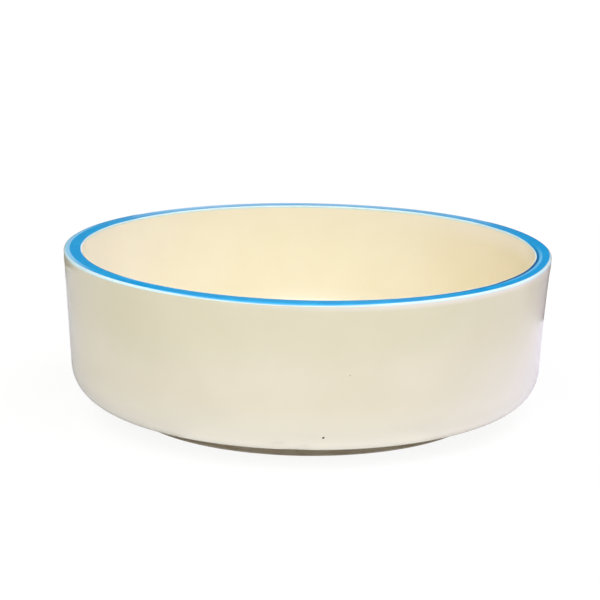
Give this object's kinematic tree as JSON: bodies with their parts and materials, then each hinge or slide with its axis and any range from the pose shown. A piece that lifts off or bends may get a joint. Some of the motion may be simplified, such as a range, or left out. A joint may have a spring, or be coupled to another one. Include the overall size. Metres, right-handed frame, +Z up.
{
  "type": "serving bowl",
  "caption": "Low straight-sided stoneware serving bowl with a rounded heel, cream glaze inside and out, a blue glazed band on its flat lip and a set-in bare clay foot ring.",
  "frame": {"origin": "on the bowl's axis, at the level that the foot ring stands on", "axes": "+Z up along the bowl's axis; +X and +Y are free, as the bowl is round"},
  "size_m": [0.2, 0.2, 0.067],
  "materials": {
    "fired_clay": "matte fired stoneware",
    "foot_clay": "bare matte stoneware, lightly tooled",
    "cream_glaze": "glossy cream glaze",
    "liner_cream": "glossy warm cream glaze",
    "blue_glaze": "glossy bright blue glaze",
    "base_cream": "satin cream glaze"
  },
  "bodies": {
    "root": {"clay_body": "fired_clay", "foot_ring": "foot_clay", "outer_glaze": "cream_glaze", "liner_glaze": "liner_cream", "rim_glaze": "blue_glaze", "base_glaze": "base_cream"}
  },
  "joints": []
}
